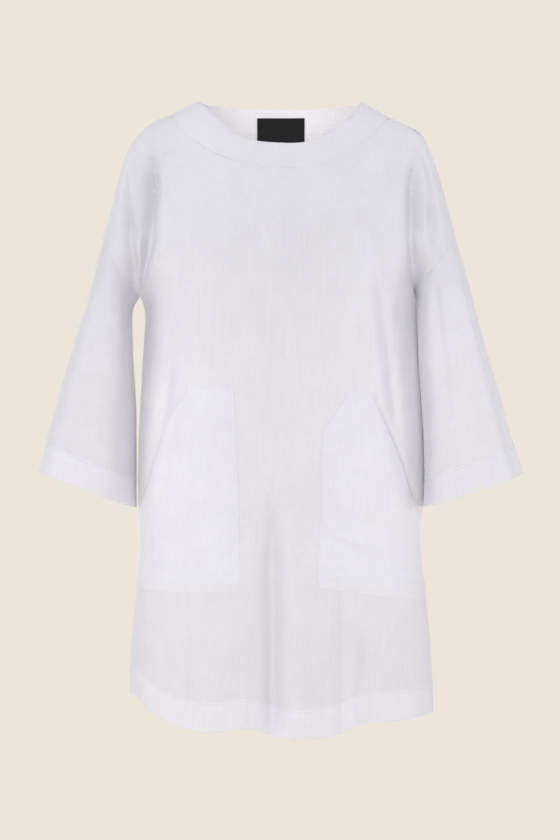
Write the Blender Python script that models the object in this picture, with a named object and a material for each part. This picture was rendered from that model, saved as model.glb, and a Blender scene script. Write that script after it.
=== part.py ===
"""Linen tunic top in its worn shape with no wearer: panels, sleeves, neckbands, pockets and label.

Sizes are in millimetres until a piece is made. x runs to the viewer's right, z upward, and the
front of the tunic faces -y. The origin lies half way between the places where the shoulders bear.
"""

import bpy
import numpy as np

MM = 0.001

# Cloth thickness and clear spaces
WALL = 1.5
HEM_WALL = 2.3
GAP = 0.3
POCKET_WALL = 1.6
POCKET_GAPE = 3.0
POCKET_GAPE_REACH = 16.0

# Turned hems and the woven label
BODY_HEM = 40.0
CUFF_HEM = 40.0
LABEL_LEFT, LABEL_RIGHT = -33.0, 35.5
LABEL_TOP, LABEL_BOTTOM = 2.4, -38.0
LABEL_CLEAR = 0.7
LABEL_THICK = 1.0

# How many grid steps each line of a piece has
SHOULDER_STEPS, NECK_STEPS = 12, 18
SIDE_STEPS, ARMHOLE_STEPS = 17, 12
SLEEVE_STEPS = 14
BAND_STEPS = 3
LABEL_COLUMNS, LABEL_ROWS = 6, 4

# Share of a panel's height that its rows below the underarm take, and how rows crowd at the top
LOWER_SHARE = 0.72
TOP_CROWDING = 1.7
SIDE_PULL = 3

# Roundness of the body and arm sections, and how sharply they meet
BODY_SQUARE = 2.3
MEETING = 4.0

# How far below the shoulder line the chest and the upper back reach their full depth
CHEST_DROP, CHEST_ROUND = 207.0, 0.6
BACK_DROP, BACK_ROUND = 80.0, 0.5

# The fold of cloth between arm and body, which closes at the underarm
WEB_DEPTH, WEB_ROUND, WEB_CLOSING = 48.0, 40.0, 60.0

# Folds fade near an edge where the cloth turns away
FOLD_FADE = 30.0


def table(names, *lines):
    """Rows of numbers as one array for each named column."""
    return {name: np.array(values, float) for name, values in zip(names.split(), zip(*lines))}


# Body sections: the side edges and the depths of front and back at each height
BODY = table(
    "z left right front back",
    (30, -185, 189, 116, 110),
    (-46, -182, 187, 116, 110),
    (-81, -174, 184, 118, 112),
    (-113, -176, 182, 121, 114),
    (-172, -183, 183, 124, 114),
    (-232, -187, 186, 125, 112),
    (-284, -188, 191, 125, 109),
    (-333, -191, 194, 125, 107),
    (-403, -195, 199, 126, 106),
    (-473, -198, 203, 128, 109),
    (-550, -198, 201, 131, 114),
    (-585, -195.5, 194, 133, 117),
    (-627, -196.5, 196.5, 136, 122),
    (-683, -202, 204, 139, 128),
    (-739, -208, 210, 142, 134),
    (-811, -211.5, 213.5, 146, 140),
    (-880, -213, 215, 149, 144),
)

# Shoulder line from the left armhole corner over both shoulders to the right one
SHOULDER_LEFT = table(
    "x z",
    (-249.5, -182.8), (-243, -158), (-237, -138), (-230, -110), (-223.5, -86), (-218, -66),
    (-209, -47), (-196, -30), (-180, -17), (-154, -4.8),
)
SHOULDER_RIGHT = table(
    "x z",
    (154, -8), (175, -17), (192, -26), (203, -39), (211, -58), (219.5, -80), (226.5, -105),
    (233.5, -130), (240, -155), (246.4, -180),
)
NECK_RIDGE = table("x z", (-134.4, 4), (-114.8, 16), (-70, 26), (0, 30), (70, 26), (113.4, 15), (132, 3.4))

# Arm sections: outer and inner edge and the depth of one half, front or back
ARM_LEFT = table(
    "z outer inner deep",
    (-20, -186, -183, 6), (-39, -202, -191, 18), (-53, -211.5, -193, 28), (-67, -218, -193, 35),
    (-81, -222, -192, 41), (-109, -229.6, -191, 49), (-137, -236.8, -192, 55), (-167, -245, -194, 60),
    (-183, -249.5, -195, 63), (-207, -255, -198, 66), (-235, -263, -202, 68), (-263, -269, -206, 70),
)
ARM_RIGHT = table(
    "z outer inner deep",
    (-20, 180, 178, 6), (-39, 203, 190, 18), (-53, 209, 189, 28), (-67, 214.5, 188, 35),
    (-81, 220, 188, 41), (-109, 227.5, 188, 49), (-137, 235, 188, 55), (-167, 243, 188.5, 60),
    (-180, 246.4, 189, 63), (-207, 252.5, 190, 66), (-235, 260.4, 190, 68), (-263, 267.4, 191, 70),
)

# Sleeve sections from the armhole to the cuff: ends of each section and its two half depths
SLEEVE_LEFT = table(
    "outer_x outer_z inner_x inner_z front back ahead",
    (-249.5, -182.8, -196, -258.4, 63, 63, 0),
    (-257.5, -218, -205.5, -276, 67, 66, 2),
    (-268.8, -262.6, -206.6, -304, 70, 68, 4),
    (-284, -312, -205, -348, 72, 68, 5),
    (-302.4, -374.6, -201.4, -411, 71, 67, 5),
    (-321.5, -444.5, -201, -485, 67, 64, 5),
    (-337.4, -502, -200.4, -553, 63, 61, 5),
)
SLEEVE_RIGHT = table(
    "outer_x outer_z inner_x inner_z front back ahead",
    (246.4, -180, 187.6, -248.6, 63, 63, 0),
    (255.5, -216, 189.6, -268, 67, 64, 13),
    (267.1, -262.6, 190.4, -300, 69, 64, 26),
    (280.9, -318.6, 192.3, -347, 70, 63, 35),
    (297.7, -374.6, 196.5, -412, 69, 62, 37),
    (318.4, -447, 199.9, -487, 66, 60, 39),
    (338, -504.8, 199.0, -551, 62, 58, 40),
)

# Hem, neckband and neck edge as seen from the front, left to right
HEM_FRONT = table(
    "x z",
    (-211.5, -811.5), (-204, -812), (-192.7, -816.1), (-179.6, -828), (-156.7, -839.5), (-140, -846),
    (-119, -850.8), (-104, -853), (-78, -850.5), (-54, -846), (-34, -848), (-7, -856.5),
    (13.5, -860), (63, -857.5), (87.5, -851), (108, -842.5), (149, -840.5), (185, -839), (214, -836.5),
)
HEM_BACK = table(
    "x z",
    (-211.5, -811.5), (-190, -826), (-140, -847), (-70, -858), (0, -862), (70, -860), (140, -850),
    (190, -842), (214, -836.5),
)
BAND_FRONT = table(
    "x z",
    (-154, -4.8), (-131, -34), (-78, -70.5), (-38, -83), (0, -87.5), (54.5, -80.5), (105.5, -55),
    (135.5, -27), (154, -8),
)
BAND_BACK = table("x z", (-154, -4.8), (-125, -8), (-70, -16), (0, -19), (70, -17), (125, -11), (154, -8))
NECK_FRONT = table(
    "x z",
    (-114.8, 16), (-94.5, -6.5), (-75.5, -26), (-51, -43), (0, -52), (35.5, -50.5), (75.5, -32),
    (104, -7), (113.4, 15),
)
NECK_BACK = table("x z", (-114.8, 16), (-70, 13.5), (0, 12), (70, 12.5), (113.4, 15))

# Folds: start, middle and end of each line, half width and height, out of the cloth if positive
FRONT_FOLDS = table(
    "x0 z0 x1 z1 x2 z2 wide high",
    (-202, -61, -210, -120, -198, -238, 8, -8),
    (-178, -57, -172, -118, -188, -250, 8, -9),
    (189, -50, 181, -136, 186, -248, 7, -9),
    (193, -56, 205, -115, 209, -210, 7, -6),
    (-147, -300, -159, -420, -190, -560, 9, -7),
    (-136, -330, -148, -430, -178, -545, 13, 4),
    (126, -165, 140, -280, 160, -455, 9, -7),
    (114, -175, 127, -285, 146, -440, 14, 4),
    (128, -400, 156, -475, 189, -575, 9, -6),
    (-8, -500, -9, -680, -9, -880, 15, -15),
    (36, -540, 37, -700, 38, -880, 24, 9),
    (71, -620, 72, -740, 73, -880, 9, -7),
    (-60, -560, -66, -720, -70, -880, 30, 5),
    (100, -690, 102, -780, 104, -880, 13, -6),
    (-178, -600, -184, -720, -188, -840, 9, 3),
)
BACK_FOLDS = table(
    "x0 z0 x1 z1 x2 z2 wide high",
    (-185, -60, -180, -130, -190, -245, 9, -8),
    (188, -56, 182, -130, 187, -243, 9, -8),
    (-95, -150, -112, -420, -128, -880, 20, -9),
    (88, -190, 104, -460, 118, -880, 18, -8),
    (-30, -330, -36, -600, -46, -880, 26, 7),
    (34, -420, 38, -640, 44, -880, 20, -9),
    (150, -300, 164, -560, 172, -880, 14, 5),
    (-160, -330, -168, -600, -176, -880, 13, 4),
)

# Sleeve folds: where each starts and ends along the sleeve, its angle, half width and height
SLEEVE_FOLDS_LEFT = table(
    "start end angle0 angle1 wide high",
    (0.10, 0.95, 108, 104, 20, -6),
    (0.15, 1.20, 62, 66, 18, 4),
    (0.20, 1.20, 236, 244, 20, -6),
    (0.25, 1.20, 292, 300, 16, 4),
)
SLEEVE_FOLDS_RIGHT = table(
    "start end angle0 angle1 wide high",
    (0.05, 0.80, 72, 62, 12, -7),
    (0.10, 1.20, 128, 126, 14, 5),
    (0.15, 1.20, 156, 152, 12, -5),
    (0.20, 1.20, 236, 230, 20, -6),
    (0.25, 1.20, 288, 284, 16, 4),
)

# Pocket corners seen from the front, going round; the first two are the ends of the hand opening
POCKET_LEFT = table(
    "x z",
    (-220, -660), (-163, -478.5), (-150, -437.5), (-139, -414.5), (-122.5, -387), (-63.5, -389),
    (-58, -498), (-54, -662.5), (-152.5, -665),
)
POCKET_RIGHT = table(
    "x z",
    (218, -684.5), (53.5, -656.5), (51.5, -645), (58, -444), (94.8, -392.5), (120.8, -391),
    (129, -411.5), (147, -454), (160, -482.5),
)
POCKET_OPENING_LEFT = table("x z", (-178, -526), (-163, -478.5), (-150, -437.5), (-139, -414.5))
POCKET_OPENING_RIGHT = table("x z", (177, -535), (160, -482.5), (147, -454), (129, -411.5))


def curve(rows, name, at, by="z"):
    """The value in one column at any place in another, along a smooth line through the rows."""
    order = np.argsort(rows[by])
    known, value = rows[by][order], rows[name][order]
    slope = np.gradient(value, known)
    at = np.clip(at, known[0], known[-1])
    k = np.clip(np.searchsorted(known, at) - 1, 0, len(known) - 2)
    step = known[k + 1] - known[k]
    t = (at - known[k]) / step
    rise = (1 + 2 * t) * (1 - t) ** 2 * value[k] + (3 - 2 * t) * t**2 * value[k + 1]
    return rise + step * (t * (1 - t) ** 2 * slope[k] - (1 - t) * t**2 * slope[k + 1])


def joined(*parts):
    """Several tables of the same columns as one."""
    return {name: np.concatenate([rows[name] for rows in parts]) for name in parts[0]}


def line_points(rows, steps):
    """Evenly spaced (x, z) places along a line, both ends included."""
    run = np.hypot(np.diff(rows["x"]), np.diff(rows["z"]))
    marked = dict(rows, run=np.concatenate([[0], np.cumsum(run)]))
    at = np.linspace(0, marked["run"][-1], steps + 1)
    return np.stack([curve(marked, "x", at, "run"), curve(marked, "z", at, "run")], 1)


def soft_step(t):
    """0 below 0, 1 above 1 and smooth between."""
    t = np.clip(t, 0, 1)
    return t * t * (3 - 2 * t)


def rounding(share):
    """A quarter round: 0 at the edge, 1 from the full reach inward."""
    return np.sqrt(1 - (1 - np.clip(share, 0, 1)) ** 2)


SHOULDERS = joined(SHOULDER_LEFT, NECK_RIDGE, SHOULDER_RIGHT)
UNDERARM_LEFT = (SLEEVE_LEFT["inner_x"][0], SLEEVE_LEFT["inner_z"][0])
UNDERARM_RIGHT = (SLEEVE_RIGHT["inner_x"][0], SLEEVE_RIGHT["inner_z"][0])


def torso_depth(x, z, side):
    """Half depth of the body alone, front or back."""
    left, right = curve(BODY, "left", z), curve(BODY, "right", z)
    middle, half = (left + right) / 2, (right - left) / 2
    round_side = np.sqrt(np.clip(1 - np.abs((x - middle) / half) ** BODY_SQUARE, 0, 1))
    reach, power = (CHEST_DROP, CHEST_ROUND) if side == "front" else (BACK_DROP, BACK_ROUND)
    drop = np.clip((curve(SHOULDERS, "z", x, "x") - z) / reach, 0, 1)
    return curve(BODY, side, z) * round_side * (1 - (1 - drop) ** 2) ** power


def arm_depth(x, z, arm):
    """Half depth of one upper arm."""
    outer, inner = curve(arm, "outer", z), curve(arm, "inner", z)
    share = (x - (outer + inner) / 2) / ((outer - inner) / 2)
    inside = (z < arm["z"].max()) & (z > arm["z"].min())
    return np.where(inside, curve(arm, "deep", z) * np.sqrt(np.clip(1 - share**2, 0, 1)), 0)


def web_depth(x, z, arm, underarm):
    """Half depth of the cloth that hangs between arm and body down to the underarm."""
    across = (curve(arm, "outer", z) - x) * np.sign(underarm[0])
    below = curve(SHOULDERS, "z", x, "x") - z
    across, below = np.maximum(across, 0), np.maximum(below, 0)
    inside = across * below / np.maximum(np.hypot(across, below), 1e-6)
    closing = np.sqrt(np.clip((z - underarm[1]) / WEB_CLOSING, 0, 1))
    arm_side = x * np.sign(underarm[0]) > 0
    return np.where(arm_side, WEB_DEPTH * rounding(inside / WEB_ROUND) * closing, 0)


def fold_height(x, z, folds):
    """Sum of the folds at a place, each highest along its own line and soft at its ends."""
    total = np.zeros(np.shape(x))
    share = np.linspace(0, 1, 17)
    for i in range(len(folds["wide"])):
        fold = {name: folds[name][i] for name in folds}
        middle_x = 2 * fold["x1"] - (fold["x0"] + fold["x2"]) / 2
        middle_z = 2 * fold["z1"] - (fold["z0"] + fold["z2"]) / 2
        start, middle, end = (1 - share) ** 2, 2 * share * (1 - share), share**2
        line_x = start * fold["x0"] + middle * middle_x + end * fold["x2"]
        line_z = start * fold["z0"] + middle * middle_z + end * fold["z2"]
        at = np.clip(z, line_z[-1], line_z[0])
        side = (x - np.interp(at, line_z[::-1], line_x[::-1])) / fold["wide"]
        run = (line_z[0] - z) / (line_z[0] - line_z[-1])
        ends = soft_step(run / 0.3) * soft_step((1.05 - run) / 0.2)
        total = total + fold["high"] * np.exp(-side * side) * ends
    return total


def depth(x, z, side):
    """How far the outside of the cloth lies in front of or behind the side seams."""
    parts = [
        torso_depth(x, z, side),
        arm_depth(x, z, ARM_LEFT),
        arm_depth(x, z, ARM_RIGHT),
        web_depth(x, z, ARM_LEFT, UNDERARM_LEFT),
        web_depth(x, z, ARM_RIGHT, UNDERARM_RIGHT),
    ]
    plain = sum(part**MEETING for part in parts) ** (1 / MEETING)
    folds = FRONT_FOLDS if side == "front" else BACK_FOLDS
    return plain + fold_height(x, z, folds) * soft_step(plain / FOLD_FADE - 0.3)


def cloth_point(x, z, side):
    """Places on the outside of the cloth."""
    way = -1 if side == "front" else 1
    return np.stack([x, way * np.maximum(depth(x, z, side), GAP / 2), z], -1)


def cloth_away(x, z, side):
    """Direction straight out of the cloth."""
    way = -1 if side == "front" else 1
    small = 1.0
    slope_x = (depth(x + small, z, side) - depth(x - small, z, side)) / (2 * small)
    slope_z = (depth(x, z + small, side) - depth(x, z - small, side)) / (2 * small)
    return unit(np.stack([-slope_x, np.full(np.shape(x), float(way)), -slope_z], -1))


def unit(vectors):
    """The same directions with length one."""
    return vectors / np.maximum(np.linalg.norm(vectors, axis=-1, keepdims=True), 1e-9)


def armhole(sleeve):
    """Armhole seam as a ring from the underarm over the front, the shoulder and the back."""
    outer = np.array([sleeve["outer_x"][0], sleeve["outer_z"][0]])
    inner = np.array([sleeve["inner_x"][0], sleeve["inner_z"][0]])
    turn = np.pi * np.arange(ARMHOLE_STEPS + 1) / ARMHOLE_STEPS
    place = (outer + inner) / 2 + np.cos(turn)[:, None] * (inner - outer) / 2
    front = cloth_point(place[:, 0], place[:, 1], "front")
    back = cloth_point(place[:, 0], place[:, 1], "back")
    for end in (0, -1):
        front[end, 1] = back[end, 1] = 0
    ring = np.concatenate([front, back[-2:0:-1]])
    down = np.array([outer[1] - inner[1], 0, inner[0] - outer[0]]) * -np.sign(inner[0])
    down = unit(down * -np.sign(down[2]))
    along = np.roll(ring, -1, 0) - np.roll(ring, 1, 0)
    away = unit(np.cross(along, down))
    away = away * np.sign(np.sum(away * (ring - ring.mean(0)), 1, keepdims=True))
    return ring, away, down


def panel_grid(side):
    """Outside points and directions of one panel, rows from hem to top, columns left to right."""
    hem, band = (HEM_FRONT, BAND_FRONT) if side == "front" else (HEM_BACK, BAND_BACK)
    columns = 2 * SHOULDER_STEPS + NECK_STEPS
    across = (1 - np.cos(np.pi * np.arange(columns + 1) / columns)) / 2
    hem_x = hem["x"][0] + across * (hem["x"][-1] - hem["x"][0])
    bottom = np.stack([hem_x, curve(hem, "z", hem_x, "x")], 1)
    top = np.concatenate([
        line_points(SHOULDER_LEFT, SHOULDER_STEPS),
        line_points(band, NECK_STEPS)[1:-1],
        line_points(SHOULDER_RIGHT, SHOULDER_STEPS),
    ])
    lower = np.arange(SIDE_STEPS + 1) / SIDE_STEPS
    upper = np.arange(1, ARMHOLE_STEPS + 1) / ARMHOLE_STEPS
    height = np.concatenate([lower * LOWER_SHARE, 1 - (1 - LOWER_SHARE) * (1 - upper) ** TOP_CROWDING])
    sides = []
    rings = []
    for name, sleeve, start in (("left", SLEEVE_LEFT, bottom[0]), ("right", SLEEVE_RIGHT, bottom[-1])):
        ring, away, down = armhole(sleeve)
        seam_z = start[1] + (ring[0, 2] - start[1]) * lower
        seam_x = curve(BODY, name, seam_z)
        seam_x[0], seam_x[-1] = start[0], ring[0, 0]
        half = slice(0, ARMHOLE_STEPS + 1)
        if side == "back":
            ring, away = np.roll(ring[::-1], 1, 0), np.roll(away[::-1], 1, 0)
        rings.append((ring[half], away[half]))
        sides.append(np.concatenate([np.stack([seam_x, seam_z], 1), ring[1 : ARMHOLE_STEPS + 1][:, [0, 2]]]))
    part = height[:, None, None]
    base = (1 - part) * bottom + part * top
    pull = (np.arange(columns + 1) / columns)[None, :, None]
    power = np.array([1, SIDE_PULL])
    move_left = (sides[0] - base[:, 0])[:, None] * (1 - pull) ** power
    move_right = (sides[1] - base[:, -1])[:, None] * pull**power
    place = base + move_left + move_right
    x, z = place[..., 0], place[..., 1]
    part = slice(1, SIDE_STEPS)
    share = (base[part, :, 0] - base[part, :1, 0]) / (base[part, -1:, 0] - base[part, :1, 0])
    left, right = curve(BODY, "left", z[part]), curve(BODY, "right", z[part])
    x[part] = left + share * (right - left)
    points, away = cloth_point(x, z, side), cloth_away(x, z, side)
    seam_y = -GAP / 2 if side == "front" else GAP / 2
    for column, (ring, ring_away) in zip((0, -1), rings):
        points[SIDE_STEPS:, column], away[SIDE_STEPS:, column] = ring, ring_away
        points[: SIDE_STEPS + 1, column, 1] = seam_y
        points[-1, column, 1] = seam_y
        away[:SIDE_STEPS, column] = (np.sign(points[0, column, 0]), 0, 0)
    for part in (slice(1, SHOULDER_STEPS + 1), slice(-SHOULDER_STEPS - 1, -1)):
        points[-1, part, 1] = seam_y
        along = np.gradient(top, axis=0)[part]
        away[-1, part] = unit(np.stack([-along[:, 1], 0 * along[:, 0], along[:, 0]], 1))
    return points, away


def band_grid(side):
    """Outside points and directions of half the neckband, rows from its lower edge to the neck."""
    low = line_points(BAND_FRONT if side == "front" else BAND_BACK, NECK_STEPS)
    neck = line_points(NECK_FRONT if side == "front" else NECK_BACK, NECK_STEPS)
    wide = np.linalg.norm(neck - low, axis=1).mean()
    part = (GAP / wide + (1 - GAP / wide) * np.arange(BAND_STEPS + 1) / BAND_STEPS)[:, None, None]
    place = (1 - part) * low + part * neck
    points = cloth_point(place[..., 0], place[..., 1], side)
    away = cloth_away(place[..., 0], place[..., 1], side)
    points[:, [0, -1], 1] = -GAP / 2 if side == "front" else GAP / 2
    for column, lean in ((0, -1), (-1, 1)):
        along = place[-1, column] - place[0, column]
        away[:, column] = unit(np.array([lean * abs(along[1]), 0, abs(along[0])]))
    return points, away


def sleeve_grid(sleeve, folds):
    """Outside points and directions of one sleeve, rings from the armhole to the cuff."""
    ring, ring_away, down = armhole(sleeve)
    count = len(ring)
    marked = dict(sleeve, step=np.linspace(0, 1, len(sleeve["front"])))
    step = np.arange(SLEEVE_STEPS + 1) / SLEEVE_STEPS
    row = {name: curve(marked, name, step, "step")[:, None] for name in sleeve}
    turn = 2 * np.pi * np.arange(count)[None, :] / count
    degrees = np.degrees(turn)
    fold = np.zeros((len(step), count))
    for i in range(len(folds["wide"])):
        run = (step[:, None] - folds["start"][i]) / (folds["end"][i] - folds["start"][i])
        angle = folds["angle0"][i] + (folds["angle1"][i] - folds["angle0"][i]) * np.clip(run, 0, 1)
        ends = soft_step(run / 0.25) * soft_step((1 - run) / 0.2)
        fold = fold + folds["high"][i] * np.exp(-(((degrees - angle) / folds["wide"][i]) ** 2)) * ends
    half_x, half_z = (row["inner_x"] - row["outer_x"]) / 2, (row["inner_z"] - row["outer_z"]) / 2
    half = np.hypot(half_x, half_z)
    swell = 1 + fold * np.abs(np.sin(turn)) / half
    x = row["outer_x"] + half_x + half_x * np.cos(turn) * swell
    z = row["outer_z"] + half_z + half_z * np.cos(turn) * swell
    deep = np.where(np.sin(turn) >= 0, row["front"], row["back"])
    y = -row["ahead"] - deep * np.sin(turn) - fold * np.sin(turn)
    shape = np.stack([x, y, z], -1)
    start = ring - shape[0]
    fading = (1 - soft_step(step / 0.35))[:, None, None]
    points = shape + start * fading
    points[0] = ring + GAP * down
    around = np.roll(points, -1, 1) - np.roll(points, 1, 1)
    along = np.gradient(points, axis=0)
    away = unit(np.cross(around, along))
    out = points - points.mean(1, keepdims=True)
    away = away * np.sign(np.sum(away * out, -1, keepdims=True))
    away[0] = ring_away
    return points, away


def hem_wall(points, edge_row, hem):
    """Wall thickness at each point: a turned hem is thicker than one layer."""
    far = np.linalg.norm(points - points[edge_row], axis=-1)
    return WALL + (HEM_WALL - WALL) * soft_step((hem + 12 - far) / 12)


def sheet_faces(rows, columns, closed=False):
    """Triangles over a grid of points, row by row."""
    last = columns if closed else columns - 1
    faces = []
    for i in range(rows - 1):
        for j in range(last):
            a, b = i * columns + j, i * columns + (j + 1) % columns
            c, d = a + columns, b + columns
            faces += [(a, b, d), (a, d, c)]
    return faces


def thick_sheet(outside, inside, faces):
    """Closed solid between two sheets of matching points."""
    count = len(outside)
    used = {}
    for face in faces:
        for a, b in zip(face, face[1:] + face[:1]):
            used[a, b] = used.get((a, b), 0) + 1
    rim = [(a, b) for a, b in used if (b, a) not in used]
    solid = list(faces) + [tuple(count + k for k in reversed(face)) for face in faces]
    for a, b in rim:
        solid += [(b, a, count + a), (b, count + a, count + b)]
    return np.concatenate([outside, inside]), solid


def tidy(points, faces):
    """The same solid with unused points left out and its faces turned outward."""
    used = sorted({k for face in faces for k in face})
    place = {k: n for n, k in enumerate(used)}
    points = points[used]
    faces = np.array([[place[k] for k in face] for face in faces])
    corner = points[faces]
    volume = np.sum(corner[:, 0] * np.cross(corner[:, 1], corner[:, 2]))
    return points, faces if volume > 0 else faces[:, ::-1]


def add_piece(name, points, faces, colour):
    """One solid as an object of its own with a plain material of its own."""
    points, faces = tidy(points, faces)
    mesh = bpy.data.meshes.new(name)
    mesh.from_pydata((points * MM).tolist(), [], faces.tolist())
    mesh.polygons.foreach_set("use_smooth", [True] * len(faces))
    mesh.set_sharp_from_angle(angle=np.radians(50))
    piece = bpy.data.objects.new(name, mesh)
    bpy.context.scene.collection.objects.link(piece)
    material = bpy.data.materials.new(name + "_cloth")
    material.use_nodes = True
    shader = material.node_tree.nodes["Principled BSDF"]
    shader.inputs["Base Color"].default_value = (*colour, 1)
    shader.inputs["Roughness"].default_value = 0.85
    mesh.materials.append(material)
    return piece


def add_panel(name, side, colour):
    """Front or back panel with its turned hem."""
    points, away = panel_grid(side)
    wall = hem_wall(points, 0, BODY_HEM)[..., None]
    rows, columns = points.shape[:2]
    outside, inside = points.reshape(-1, 3), (points - away * wall).reshape(-1, 3)
    add_piece(name, *thick_sheet(outside, inside, sheet_faces(rows, columns)), colour)
    return points, away


def add_sleeve(name, sleeve, folds, colour):
    """One sleeve, open at the armhole and the cuff."""
    points, away = sleeve_grid(sleeve, folds)
    wall = hem_wall(points, -1, CUFF_HEM)[..., None]
    rows, columns = points.shape[:2]
    outside, inside = points.reshape(-1, 3), (points - away * wall).reshape(-1, 3)
    add_piece(name, *thick_sheet(outside, inside, sheet_faces(rows, columns, True)), colour)


def add_band(name, side, colour):
    """Half of the neckband."""
    points, away = band_grid(side)
    rows, columns = points.shape[:2]
    outside, inside = points.reshape(-1, 3), (points - away * WALL).reshape(-1, 3)
    add_piece(name, *thick_sheet(outside, inside, sheet_faces(rows, columns)), colour)


def cut_sheet(points, away, faces, start, end, near=0.8):
    """The part of a sheet to the right of a straight cut seen from the front."""
    cut = unit(np.array([end[1] - start[1], 0, start[0] - end[0]]))
    from_line = (points - np.array([start[0], 0, start[1]])) @ cut
    from_line[np.abs(from_line) < near] = 0
    points, away, new = list(points), list(away), {}

    def crossing(a, b):
        key = (min(a, b), max(a, b))
        if key not in new:
            share = from_line[a] / (from_line[a] - from_line[b])
            points.append(points[a] + (points[b] - points[a]) * share)
            away.append(away[a] + (away[b] - away[a]) * share)
            new[key] = len(points) - 1
        return new[key]

    kept = []
    for face in faces:
        if max(from_line[k] for k in face) <= 0:
            continue
        left = []
        for a, b in zip(face, face[1:] + face[:1]):
            if from_line[a] >= 0:
                left.append(a)
            if from_line[a] * from_line[b] < 0:
                left.append(crossing(a, b))
        kept += [(left[0], left[k], left[k + 1]) for k in range(1, len(left) - 1)]
    return np.array(points), np.array(away), kept


def add_pocket(name, panel, corners, opening, colour):
    """Patch pocket made from the front panel's own points, moved out, with a slack hand opening."""
    points, away = (grid.reshape(-1, 3) for grid in panel)
    faces = sheet_faces(*panel[0].shape[:2])
    ends = list(zip(corners["x"], corners["z"]))
    for start, end in zip(ends, ends[1:] + ends[:1]):
        points, away, faces = cut_sheet(points, away, faces, start, end)
    edge = line_points(opening, 24)
    far = np.min(np.hypot(points[:, None, 0] - edge[:, 0], points[:, None, 2] - edge[:, 1]), 1)
    lift = GAP + POCKET_GAPE * np.exp(-((far / POCKET_GAPE_REACH) ** 2))
    outside = points + away * (lift + POCKET_WALL)[:, None]
    add_piece(name, *thick_sheet(outside, points + away * lift[:, None], faces), colour)


def add_label(name, colour):
    """Bare woven label on the inside of the back neckband."""
    x, z = np.meshgrid(
        np.linspace(LABEL_LEFT, LABEL_RIGHT, LABEL_COLUMNS + 1),
        np.linspace(LABEL_BOTTOM, LABEL_TOP, LABEL_ROWS + 1),
    )
    points, away = cloth_point(x, z, "back"), cloth_away(x, z, "back")
    outside = (points - away * (WALL + LABEL_CLEAR)).reshape(-1, 3)
    inside = (points - away * (WALL + LABEL_CLEAR + LABEL_THICK)).reshape(-1, 3)
    add_piece(name, *thick_sheet(outside, inside, sheet_faces(*x.shape)), colour)


LINEN = (0.80, 0.79, 0.80)
POCKET_LINEN = (0.84, 0.83, 0.85)
LABEL_BLACK = (0.015, 0.016, 0.02)

for old in list(bpy.data.objects):
    bpy.data.objects.remove(old, do_unlink=True)

front_panel = add_panel("front_panel", "front", LINEN)
add_panel("back_panel", "back", LINEN)
add_sleeve("left_sleeve", SLEEVE_LEFT, SLEEVE_FOLDS_LEFT, LINEN)
add_sleeve("right_sleeve", SLEEVE_RIGHT, SLEEVE_FOLDS_RIGHT, LINEN)
add_band("front_neckband", "front", POCKET_LINEN)
add_band("back_neckband", "back", POCKET_LINEN)
add_pocket("left_pocket", front_panel, POCKET_LEFT, POCKET_OPENING_LEFT, POCKET_LINEN)
add_pocket("right_pocket", front_panel, POCKET_RIGHT, POCKET_OPENING_RIGHT, POCKET_LINEN)
add_label("neck_label", LABEL_BLACK)
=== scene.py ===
"""White linen tunic top in its worn shape with no wearer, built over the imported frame.

Shape sizes are in millimetres until a mesh is made. x runs to the viewer's right, z upward, and the
front of the tunic faces -y. Every cloth piece is a thin shell on the form of its own solid.
"""

import bpy
import numpy as np
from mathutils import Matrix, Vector


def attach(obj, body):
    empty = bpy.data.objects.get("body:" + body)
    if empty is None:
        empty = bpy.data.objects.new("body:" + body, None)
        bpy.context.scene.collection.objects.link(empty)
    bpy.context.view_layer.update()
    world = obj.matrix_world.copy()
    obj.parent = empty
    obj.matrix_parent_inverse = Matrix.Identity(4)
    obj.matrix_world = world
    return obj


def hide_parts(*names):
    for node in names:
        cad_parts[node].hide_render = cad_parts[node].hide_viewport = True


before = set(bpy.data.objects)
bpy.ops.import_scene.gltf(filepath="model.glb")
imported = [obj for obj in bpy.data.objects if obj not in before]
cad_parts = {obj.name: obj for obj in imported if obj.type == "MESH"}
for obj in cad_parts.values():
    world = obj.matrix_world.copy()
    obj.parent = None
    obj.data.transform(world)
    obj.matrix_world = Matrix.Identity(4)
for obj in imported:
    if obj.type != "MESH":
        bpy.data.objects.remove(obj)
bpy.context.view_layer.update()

MM = 0.001

# Linen in one layer, in a turned hem and as laid on by a pocket
CLOTH = 0.7
HEM_CLOTH = 1.5
POCKET_CLEAR = 0.5
POCKET_CLOTH = 0.8
POCKET_GAPE = 4.5
POCKET_GAPE_REACH = 16.0

# Turned hems of body and cuffs with their row of stitches, the woven label and the sewing thread
HEM_WIDE = 40.0
STITCHED_AT = 37.0
LABEL_LEFT, LABEL_RIGHT = -33.0, 35.5
LABEL_TOP, LABEL_BOTTOM = 2.4, -38.0
STITCH, STITCH_GAP, THREAD = 2.7, 1.1, 0.28

# Grid steps along each line of a piece
SHOULDER_STEPS, NECK_STEPS = 42, 60
ARMHOLE_STEPS = 42
BAND_STEPS = 14
POCKET_COLUMNS, POCKET_ROWS = 56, 84
LABEL_COLUMNS, LABEL_ROWS = 16, 10
SLEEVE_STEP, SIDE_STEP = 6.0, 6.5
BODY_HEM_TO_UNDERARM, CUFF_TO_UNDERARM = 540.0, 300.0

# Share of a panel's height that its rows below the underarm take, and how rows crowd at the top
LOWER_SHARE = 0.72
TOP_CROWDING = 1.35
SIDE_PULL = 3

# Roundness of the body and arm sections, and how sharply they meet
BODY_SQUARE = 2.3
MEETING = 4.0

# How far below the shoulder line the chest and the upper back reach their full depth
CHEST_DROP, CHEST_ROUND = 207.0, 0.6
BACK_DROP, BACK_ROUND = 80.0, 0.5

# The fold of cloth between arm and body, which closes at the underarm
WEB_DEPTH, WEB_ROUND, WEB_CLOSING = 48.0, 40.0, 60.0

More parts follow.
